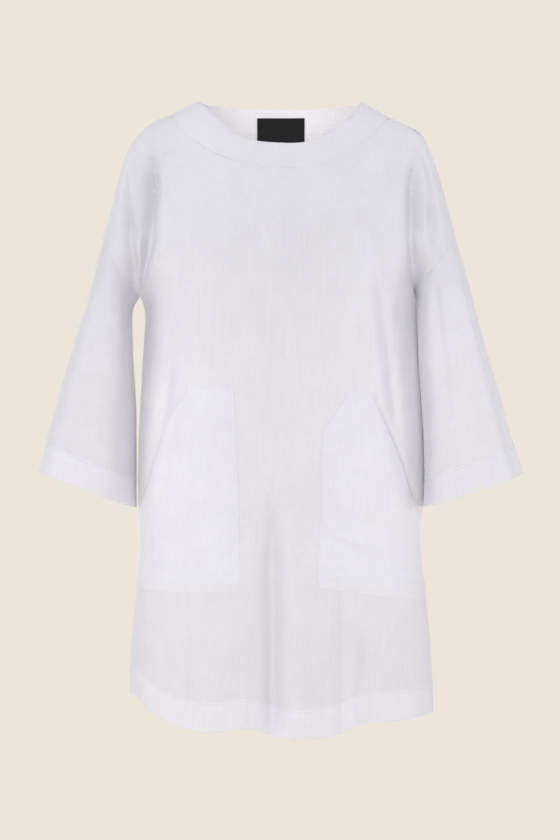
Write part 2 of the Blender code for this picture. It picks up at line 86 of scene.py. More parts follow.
# Folds fade near an edge where the cloth turns away
FOLD_FADE = 30.0
# Starts of the gentle unevenness of front and back, so that they differ
FRONT_SEED = 1.0
BACK_SEED = 4.0

# Height below the underarm in which the side seam swings out to it
UNDERARM_TURN = 33.0


def table(names, *lines):
    """Rows of numbers as one array for each named column."""
    return {name: np.array(values, float) for name, values in zip(names.split(), zip(*lines))}


# Body sections: the side edges and the depths of front and back at each height
BODY = table(
    "z left right front back",
    (30, -185, 189, 116, 110),
    (-46, -182, 187, 116, 110),
    (-81, -174, 184, 118, 112),
    (-113, -176, 182, 121, 114),
    (-172, -183, 183, 124, 114),
    (-232, -187, 186, 125, 112),
    (-284, -188, 191, 125, 109),
    (-333, -191, 194, 125, 107),
    (-403, -195, 199, 126, 106),
    (-473, -198, 203, 128, 109),
    (-550, -198, 201, 131, 114),
    (-585, -195.5, 194, 133, 117),
    (-627, -196.5, 196.5, 136, 122),
    (-683, -202, 204, 139, 128),
    (-739, -208, 210, 142, 134),
    (-811, -211.5, 213.5, 146, 140),
    (-880, -213, 215, 149, 144),
)

# Shoulder line from the left armhole corner over both shoulders to the right one
SHOULDER_LEFT = table(
    "x z",
    (-249.5, -182.8), (-243, -158), (-237, -138), (-230, -110), (-223.5, -86), (-218, -66),
    (-209, -47), (-196, -30), (-180, -17), (-154, -4.8),
)
SHOULDER_RIGHT = table(
    "x z",
    (154, -8), (175, -17), (192, -26), (203, -39), (211, -58), (219.5, -80), (226.5, -105),
    (233.5, -130), (240, -155), (246.4, -180),
)
NECK_RIDGE = table("x z", (-134.4, 4), (-114.8, 16), (-70, 26), (0, 30), (70, 26), (113.4, 15), (132, 3.4))

# Arm sections: outer and inner edge and the depth of one half, front or back
ARM_LEFT = table(
    "z outer inner deep",
    (-20, -186, -183, 6), (-39, -202, -191, 18), (-53, -211.5, -193, 28), (-67, -218, -193, 35),
    (-81, -222, -192, 41), (-109, -229.6, -191, 49), (-137, -236.8, -192, 55), (-167, -245, -194, 60),
    (-183, -249.5, -195, 63), (-207, -255, -198, 66), (-235, -263, -202, 68), (-263, -269, -206, 70),
)
ARM_RIGHT = table(
    "z outer inner deep",
    (-20, 180, 178, 6), (-39, 203, 190, 18), (-53, 209, 189, 28), (-67, 214.5, 188, 35),
    (-81, 220, 188, 41), (-109, 227.5, 188, 49), (-137, 235, 188, 55), (-167, 243, 188.5, 60),
    (-180, 246.4, 189, 63), (-207, 252.5, 190, 66), (-235, 260.4, 190, 68), (-263, 267.4, 191, 70),
)

# Sleeve sections from the armhole to the cuff: ends of each section and its two half depths
SLEEVE_LEFT = table(
    "outer_x outer_z inner_x inner_z front back ahead",
    (-249.5, -182.8, -196, -258.4, 63, 63, 0),
    (-257.5, -218, -205.5, -276, 67, 66, 2),
    (-268.8, -262.6, -206.6, -304, 70, 68, 4),
    (-284, -312, -205, -348, 72, 68, 5),
    (-302.4, -374.6, -201.4, -411, 71, 67, 5),
    (-321.5, -444.5, -201, -485, 67, 64, 5),
    (-337.4, -502, -200.4, -553, 63, 61, 5),
)
SLEEVE_RIGHT = table(
    "outer_x outer_z inner_x inner_z front back ahead",
    (246.4, -180, 187.6, -248.6, 63, 63, 0),
    (255.5, -216, 189.6, -268, 67, 64, 13),
    (267.1, -262.6, 190.4, -300, 69, 64, 26),
    (280.9, -318.6, 192.3, -347, 70, 63, 35),
    (297.7, -374.6, 196.5, -412, 69, 62, 37),
    (318.4, -447, 199.9, -487, 66, 60, 39),
    (338, -504.8, 199.0, -551, 62, 58, 40),
)

# Hem, neckband and neck edge as seen from the front, left to right
HEM_FRONT = table(
    "x z",
    (-211.5, -811.5), (-204, -812), (-192.7, -816.1), (-179.6, -828), (-156.7, -839.5), (-140, -846),
    (-119, -850.8), (-104, -853), (-78, -850.5), (-54, -846), (-34, -848), (-7, -856.5),
    (13.5, -860), (63, -857.5), (87.5, -851), (108, -842.5), (149, -840.5), (185, -839), (214, -836.5),
)
HEM_BACK = table(
    "x z",
    (-211.5, -811.5), (-190, -826), (-140, -847), (-70, -858), (0, -862), (70, -860), (140, -850),
    (190, -842), (214, -836.5),
)
BAND_FRONT = table(
    "x z",
    (-154, -4.8), (-131, -34), (-78, -70.5), (-38, -83), (0, -87.5), (54.5, -80.5), (105.5, -55),
    (135.5, -27), (154, -8),
)
BAND_BACK = table("x z", (-154, -4.8), (-125, -8), (-70, -16), (0, -19), (70, -17), (125, -11), (154, -8))
NECK_FRONT = table(
    "x z",
    (-114.8, 16), (-94.5, -6.5), (-75.5, -26), (-51, -43), (0, -52), (35.5, -50.5), (75.5, -32),
    (104, -7), (113.4, 15),
)
NECK_BACK = table("x z", (-114.8, 16), (-70, 13.5), (0, 12), (70, 12.5), (113.4, 15))

# Folds: start, middle and end of each line, half width and height, out of the cloth if positive
FRONT_FOLDS = table(
    "x0 z0 x1 z1 x2 z2 wide high",
    (-202, -61, -210, -120, -198, -238, 8, -8),
    (-178, -57, -172, -118, -188, -250, 8, -9),
    (189, -50, 181, -136, 186, -248, 7, -9),
    (193, -56, 205, -115, 209, -210, 7, -6),
    (-147, -300, -159, -420, -190, -560, 9, -7),
    (-136, -330, -148, -430, -178, -545, 13, 4),
    (126, -165, 140, -280, 160, -455, 9, -7),
    (114, -175, 127, -285, 146, -440, 14, 4),
    (128, -400, 156, -475, 189, -575, 9, -6),
    (-8, -500, -9, -680, -9, -880, 15, -15),
    (36, -540, 37, -700, 38, -880, 24, 9),
    (71, -620, 72, -740, 73, -880, 9, -7),
    (-60, -560, -66, -720, -70, -880, 30, 5),
    (100, -690, 102, -780, 104, -880, 13, -6),
    (-178, -600, -184, -720, -188, -840, 9, 3),
)
BACK_FOLDS = table(
    "x0 z0 x1 z1 x2 z2 wide high",
    (-185, -60, -180, -130, -190, -245, 9, -8),
    (188, -56, 182, -130, 187, -243, 9, -8),
    (-95, -150, -112, -420, -128, -880, 20, -9),
    (88, -190, 104, -460, 118, -880, 18, -8),
    (-30, -330, -36, -600, -46, -880, 26, 7),
    (34, -420, 38, -640, 44, -880, 20, -9),
    (150, -300, 164, -560, 172, -880, 14, 5),
    (-160, -330, -168, -600, -176, -880, 13, 4),
)

# Finer creases: start, middle and end of each line, half width on its left and right, and height
FRONT_CREASES = table(
    "x0 z0 x1 z1 x2 z2 left right high",
    (-201, -63, -209, -114, -197, -250, 4, 6, -6.5),
    (-179, -59, -173.4, -118, -187, -262, 5, 7, -7.5),
    (-191, -60, -192, -140, -194, -245, 20, 17, 13),
    (-192, -165, -193, -215, -194, -285, 17, 15, 19),
    (188.5, -50, 180.3, -137, 188, -262, 6.5, 4.5, -5.5),
    (191, -56, 205, -118, 209, -205, 6.5, 4, -5.5),
    (186, -165, 188, -215, 190, -285, 15, 17, 19),
    (216, -88, 214, -110, 210, -134, 5, 5, -3),
    (191, -58, 191, -140, 192, -240, 18, 20, 11),
    (-163, -66, -161, -140, -168, -275, 11, 24, 11),
    (168, -56, 164, -140, 168, -275, 24, 11, 10),
    (-144, -270, -158, -405, -180, -530, 7, 11, -3),
    (128, -205, 149, -362, 164, -480, 11, 7, -3),
    (-141, -408, -167, -482, -187, -548, 3.5, 3, -2.2),
    (133, -406, 164, -484, 185, -548, 3, 3.5, -2.2),
    (112, -142, 122, -190, 132, -250, 22, 13, -4),
    (-12, -520, -10, -700, -10, -885, 17, 9, -3.6),
    (97, -770, 97, -820, 98, -885, 5, 3.5, -2.2),
    (66, -690, 67, -780, 68, -885, 7, 9, -1.8),
    (-38, -640, -44, -760, -48, -885, 9, 12, 2),
    (-112, -720, -118, -790, -122, -885, 9, 14, -2.5),
    (-186, -560, -187, -640, -188, -740, 3, 4, 1.2),
    (-176, -575, -178, -650, -180, -730, 4, 3, -1.2),
    (-150, -215, -136, -262, -128, -312, 10, 6, 1.6),
    (-166, -252, -150, -300, -143, -352, 6, 9, -2),
    (168, -248, 160, -300, 158, -352, 5, 8, -1.8),
    (-60, -104, -20, -112, 40, -108, 8, 8, -0.8),
    (20, -150, 30, -230, 26, -330, 14, 10, -1.0),
    (-72, -180, -66, -280, -70, -370, 12, 16, -1.1),
    (84, -300, 74, -350, 60, -380, 8, 10, -1.2),
)
BACK_CREASES = table(
    "x0 z0 x1 z1 x2 z2 left right high",
    (-183, -60, -177, -125, -189, -246, 7, 5, -5),
    (187, -56, 180, -128, 187, -244, 5, 7, -5),
    (-194, -74, -194, -140, -194, -236, 7, 6, 3),
    (197, -80, 198, -140, 198, -230, 6, 7, 3),
    (-98, -230, -112, -470, -122, -885, 13, 8, -4),
    (92, -280, 106, -520, 116, -885, 7, 13, -4),
    (34, -520, 40, -700, 44, -885, 12, 7, -4.5),
    (-40, -560, -46, -720, -50, -885, 12, 16, 3),
    (-150, -430, -160, -640, -168, -885, 8, 12, -2.5),
    (158, -420, 166, -640, 172, -885, 9, 7, 2),
    (-60, -90, -10, -104, 50, -98, 9, 9, -1.0),
    (-140, -190, -120, -240, -96, -276, 8, 8, -1.4),
    (142, -200, 124, -246, 104, -280, 8, 8, -1.3),
)
POCKET_CREASES = table(
    "x0 z0 x1 z1 x2 z2 left right high",
    (40, -642, 125, -648, 215, -658, 6, 3.5, 3.0),
    (76, -654, 125, -659, 196, -668, 3.5, 3.5, 1.8),
    (-170, -651, -100, -652, -40, -650, 5, 3.5, 2.0),
    (88, -558, 112, -568, 146, -588, 5, 7, -1.2),
    (62, -596, 84, -600, 112, -606, 5, 6, -1.0),
    (112, -430, 120, -444, 128, -462, 5, 5, -1.0),
    (70, -520, 92, -516, 120, -526, 6, 8, 1.6),
    (78, -584, 104, -598, 150, -612, 5, 4, 2.4),
    (150, -560, 158, -600, 160, -650, 6, 8, -1.1),
    (-150, -470, -146, -560, -150, -640, 9, 6, -1.0),
    (-92, -430, -96, -480, -104, -530, 9, 8, 1.3),
    (-84, -610, -100, -622, -122, -626, 7, 7, -0.8),
)

# Sleeve folds: where each starts and ends along the sleeve, its angle, half width and height
SLEEVE_FOLDS_LEFT = table(
    "start end angle0 angle1 wide high",
    (0.10, 0.95, 108, 104, 20, -6),
    (0.15, 1.20, 62, 66, 18, 4),
    (0.20, 1.20, 236, 244, 20, -6),
    (0.25, 1.20, 292, 300, 16, 4),
)
SLEEVE_FOLDS_RIGHT = table(
    "start end angle0 angle1 wide high",
    (0.05, 0.80, 72, 62, 12, -7),
    (0.10, 1.20, 128, 126, 14, 5),
    (0.15, 1.20, 156, 152, 12, -5),
    (0.20, 1.20, 236, 230, 20, -6),
    (0.25, 1.20, 288, 284, 16, 4),
)

# Pocket edges at each height, and its bottom and top lines by share of the width from the left
POCKET_EDGES_LEFT = table(
    "z left right",
    (-670, -200.6, -54), (-627, -196.5, -54.6), (-585, -195.5, -55.6), (-560, -196.8, -56.2), (-537, -185, -56.8),
    (-526, -178, -57), (-502, -170.2, -58), (-478.5, -163, -58.8), (-458, -156.5, -59.6), (-437.5, -150, -60.4),
    (-426, -144.5, -61), (-414.5, -139, -61.6), (-400, -130.4, -62.5), (-385, -121, -63.6),
)
POCKET_LOW_LEFT = table("share z", (0, -663), (0.35, -665), (1, -662.5))
POCKET_TOP_LEFT = table("share z", (0, -387), (0.5, -388), (1, -389))
POCKET_EDGES_RIGHT = table(
    "z left right",
    (-690, 54, 206), (-656, 53.5, 200.5), (-645, 51.5, 199), (-600, 53.2, 195), (-575, 54, 194.5), (-552, 54.8, 186),
    (-535, 55.4, 177), (-509, 56.2, 168.5), (-482.5, 57, 160), (-454, 58, 147), (-444, 60, 143), (-433, 67.5, 138),
    (-411.5, 82, 129), (-400, 89.6, 124.5), (-390, 96.5, 120.4),
)
POCKET_LOW_RIGHT = table("share z", (0, -656.5), (0.5, -669), (1, -682))
POCKET_TOP_RIGHT = table("share z", (0, -392.5), (1, -391))
POCKET_OPENING_LEFT = table("x z", (-178, -526), (-163, -478.5), (-150, -437.5), (-139, -414.5))
POCKET_OPENING_RIGHT = table("x z", (177, -535), (160, -482.5), (147, -454), (129, -411.5))


def curve(rows, name, at, by="z"):
    """The value in one column at any place in another, along a smooth line through the rows."""
    order = np.argsort(rows[by])
    known, value = rows[by][order], rows[name][order]
    slope = np.gradient(value, known)
    at = np.clip(at, known[0], known[-1])
    k = np.clip(np.searchsorted(known, at) - 1, 0, len(known) - 2)
    step = known[k + 1] - known[k]
    t = (at - known[k]) / step
    rise = (1 + 2 * t) * (1 - t) ** 2 * value[k] + (3 - 2 * t) * t**2 * value[k + 1]
    return rise + step * (t * (1 - t) ** 2 * slope[k] - (1 - t) * t**2 * slope[k + 1])


def joined(*parts):
    """Several tables of the same columns as one."""
    return {name: np.concatenate([rows[name] for rows in parts]) for name in parts[0]}


def line_points(rows, steps, crowd=1.0):
    """Places (x, z) along a line, both ends included, closer together at its start if crowd is above 1."""
    run = np.hypot(np.diff(rows["x"]), np.diff(rows["z"]))
    marked = dict(rows, run=np.concatenate([[0], np.cumsum(run)]))
    share = np.arange(steps + 1) / steps
    share = share**crowd if crowd >= 1 else 1 - (1 - share) ** (1 / crowd)
    at = marked["run"][-1] * share
    return np.stack([curve(marked, "x", at, "run"), curve(marked, "z", at, "run")], 1)


def soft_step(t):
    """0 below 0, 1 above 1 and smooth between."""
    t = np.clip(t, 0, 1)
    return t * t * (3 - 2 * t)


def rounding(share):
    """A quarter round: 0 at the edge, 1 from the full reach inward."""
    return np.sqrt(1 - (1 - np.clip(share, 0, 1)) ** 2)


SHOULDERS = joined(SHOULDER_LEFT, NECK_RIDGE, SHOULDER_RIGHT)
UNDERARM_LEFT = (SLEEVE_LEFT["inner_x"][0], SLEEVE_LEFT["inner_z"][0])
UNDERARM_RIGHT = (SLEEVE_RIGHT["inner_x"][0], SLEEVE_RIGHT["inner_z"][0])


def torso_depth(x, z, side):
    """Half depth of the body alone, front or back."""
    left, right = curve(BODY, "left", z), curve(BODY, "right", z)
    middle, half = (left + right) / 2, (right - left) / 2
    round_side = np.sqrt(np.clip(1 - np.abs((x - middle) / half) ** BODY_SQUARE, 0, 1))
    reach, power = (CHEST_DROP, CHEST_ROUND) if side == "front" else (BACK_DROP, BACK_ROUND)
    drop = np.clip((curve(SHOULDERS, "z", x, "x") - z) / reach, 0, 1)
    return curve(BODY, side, z) * round_side * (1 - (1 - drop) ** 2) ** power


def arm_depth(x, z, arm):
    """Half depth of one upper arm."""
    outer, inner = curve(arm, "outer", z), curve(arm, "inner", z)
    share = (x - (outer + inner) / 2) / ((outer - inner) / 2)
    inside = (z < arm["z"].max()) & (z > arm["z"].min())
    return np.where(inside, curve(arm, "deep", z) * np.sqrt(np.clip(1 - share**2, 0, 1)), 0)


def web_depth(x, z, arm, underarm):
    """Half depth of the cloth that hangs between arm and body down to the underarm."""
    across = (curve(arm, "outer", z) - x) * np.sign(underarm[0])
    below = curve(SHOULDERS, "z", x, "x") - z
    across, below = np.maximum(across, 0), np.maximum(below, 0)
    inside = across * below / np.maximum(np.hypot(across, below), 1e-6)
    closing = np.sqrt(np.clip((z - underarm[1]) / WEB_CLOSING, 0, 1))
    arm_side = x * np.sign(underarm[0]) > 0
    return np.where(arm_side, WEB_DEPTH * rounding(inside / WEB_ROUND) * closing, 0)


def fold_height(x, z, folds):
    """Sum of the folds at a place, each highest along its own line and soft at its ends."""
    total = np.zeros(np.shape(x))
    share = np.linspace(0, 1, 17)
    for i in range(len(folds["wide"])):
        fold = {name: folds[name][i] for name in folds}
        middle_x = 2 * fold["x1"] - (fold["x0"] + fold["x2"]) / 2
        middle_z = 2 * fold["z1"] - (fold["z0"] + fold["z2"]) / 2
        start, middle, end = (1 - share) ** 2, 2 * share * (1 - share), share**2
        line_x = start * fold["x0"] + middle * middle_x + end * fold["x2"]
        line_z = start * fold["z0"] + middle * middle_z + end * fold["z2"]
        at = np.clip(z, line_z[-1], line_z[0])
        side = (x - np.interp(at, line_z[::-1], line_x[::-1])) / fold["wide"]
        run = (line_z[0] - z) / (line_z[0] - line_z[-1])
        ends = soft_step(run / 0.3) * soft_step((1.05 - run) / 0.2)
        total = total + fold["high"] * np.exp(-side * side) * ends
    return total


def crease_height(x, z, creases):
    """Sum of the creases at a place: each has a sharp line, its own slope on either side and soft ends."""
    total = np.zeros(np.shape(x))
    share = np.linspace(0, 1, 33)
    for i in range(len(creases["high"])):
        one = {name: creases[name][i] for name in creases}
        middle_x = 2 * one["x1"] - (one["x0"] + one["x2"]) / 2
        middle_z = 2 * one["z1"] - (one["z0"] + one["z2"]) / 2
        start, middle, end = (1 - share) ** 2, 2 * share * (1 - share), share**2
        line = np.stack([
            start * one["x0"] + middle * middle_x + end * one["x2"],
            start * one["z0"] + middle * middle_z + end * one["z2"],
        ], 1)
        tangent = unit(np.gradient(line, axis=0))
        spot = np.argmin((x[..., None] - line[:, 0]) ** 2 + (z[..., None] - line[:, 1]) ** 2, -1)
        off_x, off_z = x - line[spot, 0], z - line[spot, 1]
        ahead = off_x * tangent[spot, 0] + off_z * tangent[spot, 1]
        side = off_z * tangent[spot, 0] - off_x * tangent[spot, 1]
        length = np.linalg.norm(np.diff(line, axis=0), axis=1).sum()
        run = spot / 32 + ahead / length
        wide = np.where(side < 0, one["left"], one["right"])
        ends = soft_step(run / 0.25) * soft_step((1 - run) / 0.25)
        total = total + one["high"] * np.exp(-np.abs(side / wide) ** 1.5) * ends
    return total


def depth(x, z, side):
    """How far the outside of the cloth lies in front of or behind the side seams."""
    parts = [
        torso_depth(x, z, side),
        arm_depth(x, z, ARM_LEFT),
        arm_depth(x, z, ARM_RIGHT),
        web_depth(x, z, ARM_LEFT, UNDERARM_LEFT),
        web_depth(x, z, ARM_RIGHT, UNDERARM_RIGHT),
    ]
    plain = sum(part**MEETING for part in parts) ** (1 / MEETING)
    folds, creases = (FRONT_FOLDS, FRONT_CREASES) if side == "front" else (BACK_FOLDS, BACK_CREASES)
    uneven = fold_height(x, z, folds) + crease_height(x, z, creases)
    return plain + uneven * soft_step(plain / FOLD_FADE - 0.3)


def cloth_point(x, z, side):
    """Places on the outside of the cloth."""
    way = -1 if side == "front" else 1
    return np.stack([x, way * np.maximum(depth(x, z, side), 0), z], -1)


def cloth_away(x, z, side):
    """Direction straight out of the cloth."""
    way = -1 if side == "front" else 1
    small = 1.0
    slope_x = (depth(x + small, z, side) - depth(x - small, z, side)) / (2 * small)
    slope_z = (depth(x, z + small, side) - depth(x, z - small, side)) / (2 * small)
    return unit(np.stack([-slope_x, np.full(np.shape(x), float(way)), -slope_z], -1))


def unit(vectors):
    """The same directions with length one."""
    return vectors / np.maximum(np.linalg.norm(vectors, axis=-1, keepdims=True), 1e-9)


def armhole(sleeve):
    """Armhole seam as a ring from the underarm over the front, the shoulder and the back."""
    outer = np.array([sleeve["outer_x"][0], sleeve["outer_z"][0]])
    inner = np.array([sleeve["inner_x"][0], sleeve["inner_z"][0]])
    turn = np.pi * np.arange(ARMHOLE_STEPS + 1) / ARMHOLE_STEPS
    place = (outer + inner) / 2 + np.cos(turn)[:, None] * (inner - outer) / 2
    front = cloth_point(place[:, 0], place[:, 1], "front")
    back = cloth_point(place[:, 0], place[:, 1], "back")
    for end in (0, -1):
        front[end, 1] = back[end, 1] = 0
    ring = np.concatenate([front, back[-2:0:-1]])
    down = np.array([outer[1] - inner[1], 0, inner[0] - outer[0]]) * -np.sign(inner[0])
    down = unit(down * -np.sign(down[2]))
    along = np.roll(ring, -1, 0) - np.roll(ring, 1, 0)
    away = unit(np.cross(along, down))
    away = away * np.sign(np.sum(away * (ring - ring.mean(0)), 1, keepdims=True))
    return ring, away, down


def slack(x, z, seed):
    """Gentle unevenness of hanging cloth, in no even pattern."""
    broad = np.sin(x / 41 + 0.9 * np.sin(z / 97 + seed)) * np.sin(z / 83 + 1.7 * seed)
    small = np.sin(x / 17 + z / 61 + 2.1 * seed) * np.sin(z / 29 - x / 43 + seed)
    return 0.9 * broad + 0.35 * small


def ripples(along, seed):
    """Uneven puckers along a row of stitches."""
    return np.sin(along / 1.9 + seed + 1.3 * np.sin(along / 7.7)) * (0.6 + 0.4 * np.sin(along / 23 + seed))


def grid_away(points, closed=False):
    """Directions straight out of a grid whose columns run left to right seen from outside."""
    if closed:
        across = np.roll(points, -1, 1) - np.roll(points, 1, 1)
    else:
        across = np.gradient(points, axis=1)
    return unit(np.cross(across, np.gradient(points, axis=0)))


def run_along(points):
    """Distance along each column of a grid, from its first row."""
    steps = np.linalg.norm(np.diff(points, axis=0), axis=-1)
    return np.concatenate([np.zeros((1, points.shape[1])), np.cumsum(steps, 0)])


def near_line(points, line):
    """Distance from each point to the nearest point of a line."""
    flat = points.reshape(-1, 3)
    far = np.full(len(flat), 1e9)
    for spot in line:
        far = np.minimum(far, np.linalg.norm(flat - spot, axis=1))
    return far.reshape(points.shape[:-1])


def filled_in(line, step=1.5):
    """The same line of points with more of them, evenly spaced."""
    run = np.concatenate([[0], np.cumsum(np.linalg.norm(np.diff(line, axis=0), axis=1))])
    at = np.linspace(0, run[-1], int(run[-1] / step) + 2)
    return np.stack([np.interp(at, run, line[:, k]) for k in range(3)], 1)


def hem_rows(length, step):
    """Distances from a turned edge: dense at the fold, the stitches and the band's inner edge."""
    close = [0, 0.3, 0.8, 1.6, 3, 6, 11, 16, 21, 26, 31, 34, 35.5, 36.4, 37, 37.6, 38.5, 39.5, 40, 40.6, 42, 44.5, 48]
    count = int((length - close[-1]) / step)
    return np.array(close + list(close[-1] + (length - close[-1]) * np.arange(1, count + 1) / count))


def hem_shape(from_edge, along, seed):
    """How far a turned hem moves the outside of the cloth, and the cloth's thickness there."""
    fold = -HEM_CLOTH / 2 * (1 - rounding(from_edge / 0.9))
    stitched = -0.4 * np.exp(-(((from_edge - STITCHED_AT) / 0.9) ** 2))
    ridge = 0.3 * soft_step((from_edge - STITCHED_AT - 0.3) / 1.2) * soft_step((HEM_WIDE + 1.5 - from_edge) / 1.5)
    pucker = 0.16 * ripples(along, seed) * np.exp(-(((from_edge - STITCHED_AT + 2) / 7) ** 2))
    thick = CLOTH + (HEM_CLOTH - CLOTH) * soft_step((HEM_WIDE + 0.6 - from_edge) / 0.6)
    return fold + stitched + ridge + pucker, np.maximum(thick + 2 * fold, 0.15)


def panel_place(side):
    """Places of one panel seen from the front, rows from hem to top, its form's x and hem distances."""
    hem, band = (HEM_FRONT, BAND_FRONT) if side == "front" else (HEM_BACK, BAND_BACK)
    columns = 2 * SHOULDER_STEPS + NECK_STEPS
    across = (1 - np.cos(np.pi * np.arange(columns + 1) / columns)) / 2
    hem_x = hem["x"][0] + across * (hem["x"][-1] - hem["x"][0])
    bottom = np.stack([hem_x, curve(hem, "z", hem_x, "x")], 1)
    top = np.concatenate([
        line_points(SHOULDER_LEFT, SHOULDER_STEPS, 1.4),
        line_points(band, NECK_STEPS)[1:-1],
        line_points(SHOULDER_RIGHT, SHOULDER_STEPS, 1 / 1.4),
    ])
    rise = hem_rows(BODY_HEM_TO_UNDERARM, SIDE_STEP)
    upper = np.arange(1, ARMHOLE_STEPS + 1) / ARMHOLE_STEPS
    height = np.concatenate([
        LOWER_SHARE * rise / rise[-1], 1 - (1 - LOWER_SHARE) * (1 - upper) ** TOP_CROWDING
    ])[:, None, None]
    base = (1 - height) * bottom + height * top
    share = (base[..., 0] - base[:, :1, 0]) / (base[:, -1:, 0] - base[:, :1, 0])
    low = len(rise)
    z = base[..., 1].copy()
    rings = []
    for sleeve, column, aside in ((SLEEVE_LEFT, 0, 1 - share), (SLEEVE_RIGHT, -1, share)):
        ring = armhole(sleeve)[0]
        if side == "back":
            ring = np.roll(ring[::-1], 1, 0)
        ring = ring[: ARMHOLE_STEPS + 1][:, [0, 2]]
        move = ring[:, 1] - base[low - 1 :, column, 1]
        z[low - 1 :] += move[:, None] * aside[low - 1 :] ** SIDE_PULL
        rings.append(ring)
    tall = z[low - 1] - bottom[:, 1]
    part = soft_step((rise / rise[-1] - 0.1) / 0.9)[:, None]
    z[:low] = bottom[:, 1] + rise[:, None] + (tall - rise[-1]) * part
    turning = np.clip(1 - (rise[-1] - rise) / UNDERARM_TURN, 0, 1) ** 2
    pull = np.concatenate([np.full(low, 6.0), 1 + 5 * (1 - upper) ** 2])[:, None]
    fading = np.concatenate([np.ones(low), np.clip(1 - 3 * upper, 0, 1) ** 2])[:, None]
    edges, moves = [], []
    for name, ring, aside in (("left", rings[0], 1 - share), ("right", rings[1], share)):
        body = curve(BODY, name, ring[0, 1])
        turn = np.concatenate([(ring[0, 0] - body) * turning, ring[1:, 0] - body])[:, None]
        edges.append(np.concatenate([curve(BODY, name, z[:low]), body + 0 * z[low:]]))
        moves.append((turn * aside**pull, (ring[0, 0] - body) * turning[-1] * aside**6 * fading))
        moves[-1][1][:low] = moves[-1][0][:low]
    x = edges[0] + share * (edges[1] - edges[0]) + moves[0][0] + moves[1][0]
    form_x = x - moves[0][1] - moves[1][1]
    return x, z, form_x, rise


def panel_grid(side):
    """Outside points, directions and thickness of one panel, and how many rows its hem has."""
    x, z, form_x, rise = panel_place(side)
    low = len(rise)
    points = cloth_point(form_x, z, side)
    points[..., 0] = x
    for column, sleeve in ((0, SLEEVE_LEFT), (-1, SLEEVE_RIGHT)):
        ring = armhole(sleeve)[0]
        if side == "back":
            ring = np.roll(ring[::-1], 1, 0)
        points[low - 1 :, column] = ring[: ARMHOLE_STEPS + 1]
        points[:low, column, 1] = 0
    points[-1, : SHOULDER_STEPS + 1, 1] = 0
    points[-1, -SHOULDER_STEPS - 1 :, 1] = 0
    away = grid_away(points) * (1 if side == "front" else -1)
    from_edge = np.full(points.shape[:2], 900.0)
    from_edge[:low] = rise[:, None]
    seed = FRONT_SEED if side == "front" else BACK_SEED
    move, thick = hem_shape(from_edge, points[..., 0], seed)
    seams = [points[:, 0], points[:, -1], points[-1]]
    for k, line in enumerate(seams):
        far = near_line(points, filled_in(line))
        near = np.exp(-((far / 2.2) ** 2))
        pucker = 0.22 * ripples(points[..., 2] + points[..., 0], seed + k) * np.exp(-((far / 9) ** 2))
        move = move - 0.1 * near + 0.6 * pucker * (1 - near)
    inner = soft_step(np.minimum(near_line(points, filled_in(points[:, 0], 4)),
                                 near_line(points, filled_in(points[:, -1], 4))) / 40)
    move = move + slack(points[..., 0], points[..., 2], seed) * inner
    return points + away * move[..., None], away, thick, int(np.argmin(np.abs(rise - HEM_WIDE)))


def sleeve_points(sleeve, folds, step):
    """Outside points of one sleeve at each ring place and each step from armhole to cuff."""
    ring = armhole(sleeve)[0]
    count = len(ring)
    marked = dict(sleeve, step=np.linspace(0, 1, len(sleeve["front"])))
    row = {name: curve(marked, name, step, "step") for name in sleeve}
    turn = 2 * np.pi * np.arange(count)[None, :] / count + 0 * step
    fold = np.zeros(step.shape)
    for i in range(len(folds["wide"])):
        run = (step - folds["start"][i]) / (folds["end"][i] - folds["start"][i])
        angle = folds["angle0"][i] + (folds["angle1"][i] - folds["angle0"][i]) * np.clip(run, 0, 1)
        ends = soft_step(run / 0.25) * soft_step((1 - run) / 0.2)
        side = (np.degrees(turn) - angle) / folds["wide"][i]
        fold = fold + folds["high"][i] * np.exp(-(side**2)) * ends
    half_x, half_z = (row["inner_x"] - row["outer_x"]) / 2, (row["inner_z"] - row["outer_z"]) / 2
    swell = 1 + fold * np.abs(np.sin(turn)) / np.hypot(half_x, half_z)
    x = row["outer_x"] + half_x + half_x * np.cos(turn) * swell
    z = row["outer_z"] + half_z + half_z * np.cos(turn) * swell
    deep = np.where(np.sin(turn) >= 0, row["front"], row["back"])
    shape = np.stack([x, -row["ahead"] - deep * np.sin(turn) - fold * np.sin(turn), z], -1)
    plain = 2 * np.pi * np.arange(count) / count
    inner = np.array([sleeve["inner_x"][0], sleeve["inner_z"][0]])
    outer = np.array([sleeve["outer_x"][0], sleeve["outer_z"][0]])
    first = (inner + outer) / 2 + np.cos(plain)[:, None] * (inner - outer) / 2
    deep = np.where(np.sin(plain) >= 0, sleeve["front"][0], sleeve["back"][0])
    start = ring - np.stack([first[:, 0], -sleeve["ahead"][0] - deep * np.sin(plain), first[:, 1]], 1)
    return shape + start * (1 - soft_step(step / 0.35))[..., None]


